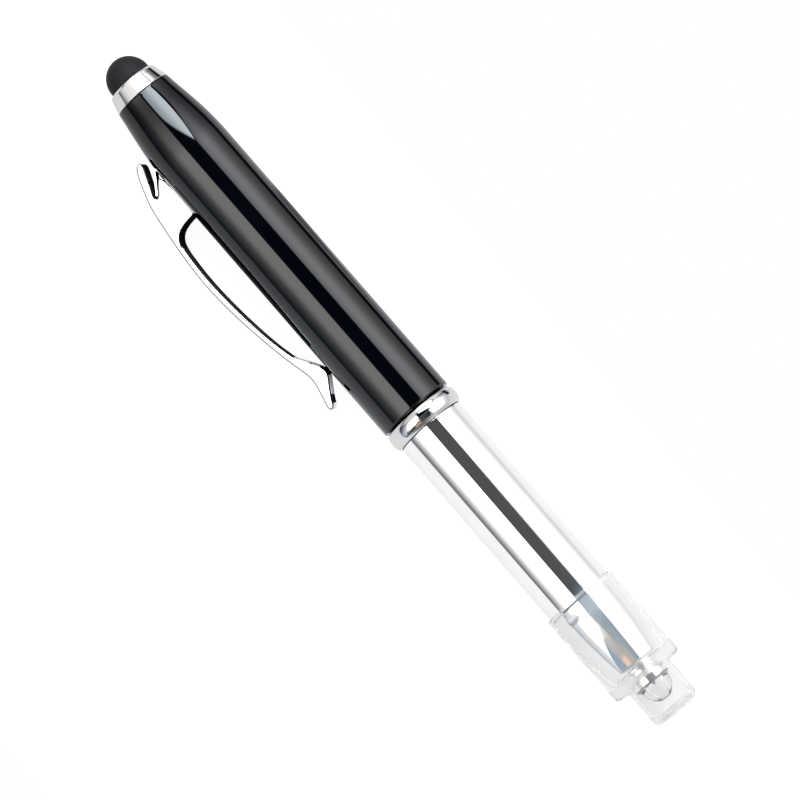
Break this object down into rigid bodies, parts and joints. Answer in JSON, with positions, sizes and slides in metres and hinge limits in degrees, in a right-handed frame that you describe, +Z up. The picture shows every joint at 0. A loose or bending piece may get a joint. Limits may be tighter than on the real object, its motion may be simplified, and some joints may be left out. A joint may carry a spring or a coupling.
{
  "type": "multifunction pen",
  "caption": "Twist-action ballpoint pen with a lit tip under a milky pull-off cap, a rubber touch-screen stylus at the other end and a sprung chrome clip.",
  "frame": {"origin": "on the ground under the middle of the pen's box, with the pen lying on its side", "axes": "+X along the pen from the stylus to the capped writing end, +Z up, the clip on the -Y side with its edge on the ground"},
  "size_m": [0.1448, 0.0198, 0.014],
  "materials": {
    "battery_sleeve": "white insulating plastic",
    "battery_spring": "plain spring or stainless steel",
    "bearing_bush": "white acetal",
    "button_cell_1": "nickel-plated cell can",
    "button_cell_2": "nickel-plated cell can",
    "button_cell_3": "nickel-plated cell can",
    "carrier_pin": "plain spring or stainless steel",
    "clip_bracket": "plain spring or stainless steel",
    "clip_leaf_spring": "plain spring or stainless steel",
    "clip_lever": "polished chrome plate",
    "clip_pin": "plain spring or stainless steel",
    "collar_ring": "polished chrome plate",
    "contact_plate": "plain turned or stamped brass",
    "contact_spring": "plain turned or stamped brass",
    "friction_ring": "black rubber ring",
    "guide_sleeve": "plain spring or stainless steel",
    "led_bezel": "polished chrome plate",
    "led_board": "white circuit board",
    "led_chip_1": "yellow phosphor over a light-emitting chip",
    "led_chip_2": "yellow phosphor over a light-emitting chip",
    "light_lens": "clear polished acrylic",
    "lower_barrel": "polished chrome plate",
    "nib_ball": "polished carbide ball",
    "nose_cone": "polished chrome plate",
    "refill_carrier": "black acetal",
    "refill_collar": "plain turned or stamped brass",
    "refill_nib": "nickel-silver point",
    "refill_spring": "plain spring or stainless steel",
    "refill_tube": "plain spring or stainless steel",
    "stylus_core": "plain spring or stainless steel",
    "stylus_ferrule": "polished chrome plate",
    "stylus_tip": "matte conductive rubber",
    "tail_bush": "plain turned or stamped brass",
    "tip_cap": "milky translucent plastic",
    "twist_cam": "white acetal",
    "upper_barrel": "black high-gloss lacquer over a brass tube"
  },
  "bodies": {
    "upper": {"upper_barrel": "upper_barrel", "tail_bush": "tail_bush", "battery_sleeve": "battery_sleeve", "button_cell_1": "button_cell_1", "button_cell_2": "button_cell_2", "button_cell_3": "button_cell_3", "contact_plate": "contact_plate", "battery_spring": "battery_spring", "clip_bracket": "clip_bracket", "clip_pin": "clip_pin", "clip_leaf_spring": "clip_leaf_spring", "twist_cam": "twist_cam", "bearing_bush": "bearing_bush"},
    "clip": {"clip_lever": "clip_lever"},
    "tail": {"stylus_tip": "stylus_tip", "stylus_core": "stylus_core", "stylus_ferrule": "stylus_ferrule"},
    "lower": {"lower_barrel": "lower_barrel", "collar_ring": "collar_ring", "guide_sleeve": "guide_sleeve", "friction_ring": "friction_ring", "nose_cone": "nose_cone", "led_bezel": "led_bezel", "light_lens": "light_lens", "led_board": "led_board", "led_chip_1": "led_chip_1", "led_chip_2": "led_chip_2", "refill_spring": "refill_spring"},
    "refill": {"refill_carrier": "refill_carrier", "carrier_pin": "carrier_pin", "refill_tube": "refill_tube", "refill_collar": "refill_collar", "refill_nib": "refill_nib", "nib_ball": "nib_ball", "contact_spring": "contact_spring"},
    "cap": {"tip_cap": "tip_cap"}
  },
  "joints": [
    {"name": "barrel_twist", "type": "hinge", "parent": "upper", "child": "lower", "pos_m": [0.0056, 0.00294, 0.007], "axis": [1, 0, 0], "range_deg": [0, 160]},
    {"name": "refill_feed", "type": "slide", "parent": "lower", "child": "refill", "axis": [1, 0, 0], "range_m": [0, 0.0048], "deforming": ["refill_spring", "contact_spring"]},
    {"name": "cap_pull", "type": "slide", "parent": "lower", "child": "cap", "axis": [1, 0, 0], "range_m": [0, 0.03]},
    {"name": "tail_switch", "type": "hinge", "parent": "upper", "child": "tail", "pos_m": [-0.0648, 0.00294, 0.007], "axis": [1, 0, 0], "range_deg": [0, 90]},
    {"name": "clip_open", "type": "hinge", "parent": "upper", "child": "clip", "pos_m": [-0.0507, -0.00422, 0.00403], "axis": [0, 0.3827, -0.9239], "range_deg": [0, 7], "stiffness_Nm_per_rad": 1.2, "springref_deg": -2.01}
  ],
  "couplings": [
    {"joint": "barrel_twist", "follows": "refill_feed", "rad_per_m": 581.77}
  ]
}
